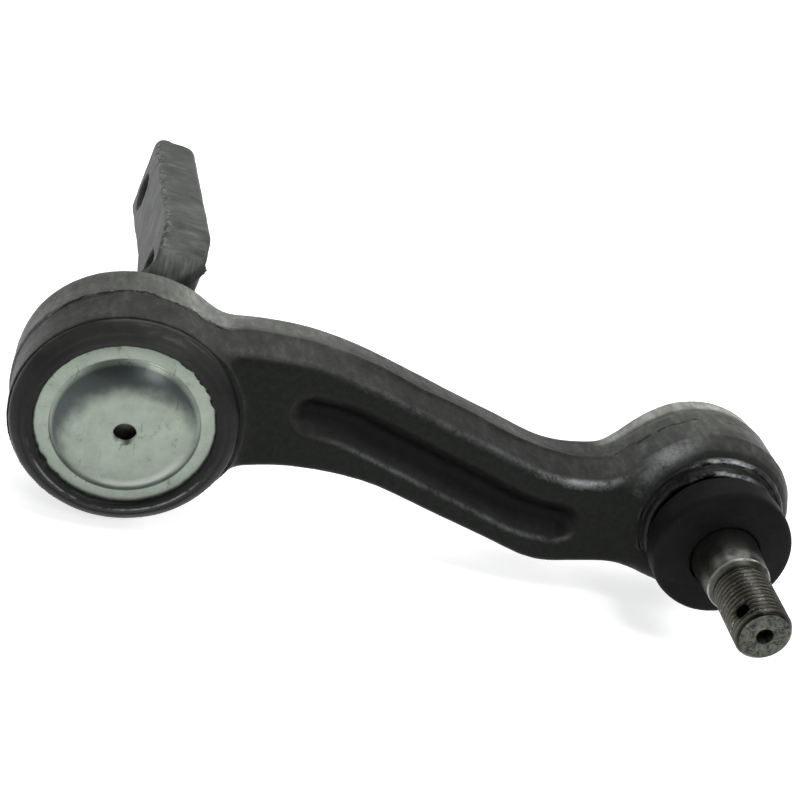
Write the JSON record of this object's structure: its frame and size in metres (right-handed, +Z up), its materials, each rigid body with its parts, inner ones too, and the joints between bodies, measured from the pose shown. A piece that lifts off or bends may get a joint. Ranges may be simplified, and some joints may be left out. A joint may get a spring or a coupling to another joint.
{
  "type": "steering idler arm",
  "caption": "Curved forged steering idler arm swinging on a frame bracket's sealed spindle, with a greased ball stud in a rubber boot at its free end.",
  "frame": {"origin": "on the arm's pivot axis, at the outer face of the domed cover plate (the mouth of its grease hole)", "axes": "+X from the pivot axis to the ball stud's axis, +Y along the pivot from the cover plate back to the frame bracket, +Z up; the ball stud points along -Y"},
  "size_m": [0.2026, 0.1516, 0.0654],
  "materials": {
    "forged_arm": "as forged, oiled black scale",
    "zinc_cover": "zinc plated, satin",
    "gasket_fibre": "matt fibre gasket",
    "bush_bronze": "turned bronze",
    "seal_rubber": "matt black rubber",
    "forged_bracket": "as forged, shot cleaned grey",
    "washer_steel": "ground steel",
    "spring_steel": "oil blued spring steel",
    "nut_steel": "plain steel",
    "stud_steel": "turned steel, lightly oiled",
    "liner_plastic": "natural moulded plastic",
    "seat_plastic": "natural moulded plastic",
    "boot_rubber": "moulded black rubber, matt",
    "ring_plastic": "black moulded plastic"
  },
  "bodies": {
    "bracket": {"frame_bracket": "forged_bracket", "rear_thrust_washer": "washer_steel", "front_thrust_washer": "washer_steel", "preload_spring": "spring_steel", "spindle_nut": "nut_steel"},
    "arm": {"idler_arm": "forged_arm", "pivot_cover_plate": "zinc_cover", "cover_gasket": "gasket_fibre", "front_bush": "bush_bronze", "rear_bush": "bush_bronze", "dust_seal": "seal_rubber", "front_seat": "seat_plastic", "rear_seat": "seat_plastic", "seat_spring": "spring_steel", "socket_end_plate": "zinc_cover", "dust_boot": "boot_rubber", "boot_band": "washer_steel"},
    "ball_swing": {"bearing_liner": "liner_plastic"},
    "ball_rock": {"neck_ring": "ring_plastic"},
    "stud": {"ball_stud": "stud_steel"}
  },
  "joints": [
    {"name": "arm_swing", "type": "hinge", "parent": "bracket", "child": "arm", "pos_m": [0, 0.0195, 0], "axis": [0, 1, 0], "range_deg": [-45, 45]},
    {"name": "stud_swing", "type": "hinge", "parent": "arm", "child": "ball_swing", "pos_m": [0.1512, 0.0165, 0], "axis": [0, 0, 1], "range_deg": [-12, 12], "deforming": ["dust_boot"]},
    {"name": "stud_rock", "type": "hinge", "parent": "ball_swing", "child": "ball_rock", "pos_m": [0.1512, 0.0165, 0], "axis": [1, 0, 0], "range_deg": [-12, 12], "deforming": ["dust_boot"]},
    {"name": "stud_spin", "type": "hinge", "parent": "ball_rock", "child": "stud", "pos_m": [0.1512, 0.0165, 0], "axis": [0, 1, 0], "continuous": true}
  ]
}
